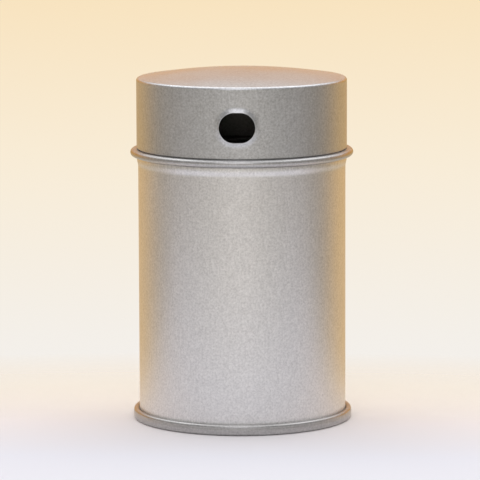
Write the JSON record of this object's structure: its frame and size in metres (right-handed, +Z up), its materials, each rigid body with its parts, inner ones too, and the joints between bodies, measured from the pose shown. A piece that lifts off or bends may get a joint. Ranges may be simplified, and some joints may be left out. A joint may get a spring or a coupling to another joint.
{
  "type": "spice tin",
  "caption": "Small round tinplate canister with a domed slip lid that turns on a neck to open or close a side pour hole, a stop bead and a seamed recessed bottom.",
  "frame": {"origin": "on the tin's axis, at the flat underside of the bottom seam, where the tin stands", "axes": "+Z up along the tin's axis from the bottom seam to the lid; the pour hole faces -Y and the body's lock seam is at +Y; +X is to the right seen from the front"},
  "size_m": [0.053, 0.053, 0.0837],
  "materials": {
    "body_tinplate": "satin tinned steel with a fine vertical grain",
    "neck_tinplate": "satin tinned steel",
    "bottom_tinplate": "satin tinned steel",
    "seam_compound": "matt sealing compound",
    "lid_tinplate": "satin tinned steel with a fine grain",
    "liner_board": "waxed pulpboard"
  },
  "bodies": {
    "tin": {"body_shell": "body_tinplate", "neck_ring": "neck_tinplate", "bottom_end": "bottom_tinplate", "bottom_seal": "seam_compound"},
    "liner": {"lid_liner": "liner_board"},
    "lid": {"lid_cap": "lid_tinplate"}
  },
  "joints": [
    {"name": "lid_lift", "type": "slide", "parent": "tin", "child": "liner", "axis": [0, 0, 1], "range_m": [0, 0.03]},
    {"name": "lid_turn", "type": "hinge", "parent": "liner", "child": "lid", "pos_m": [0, 0, 0.072], "axis": [0, 0, 1], "continuous": true}
  ]
}
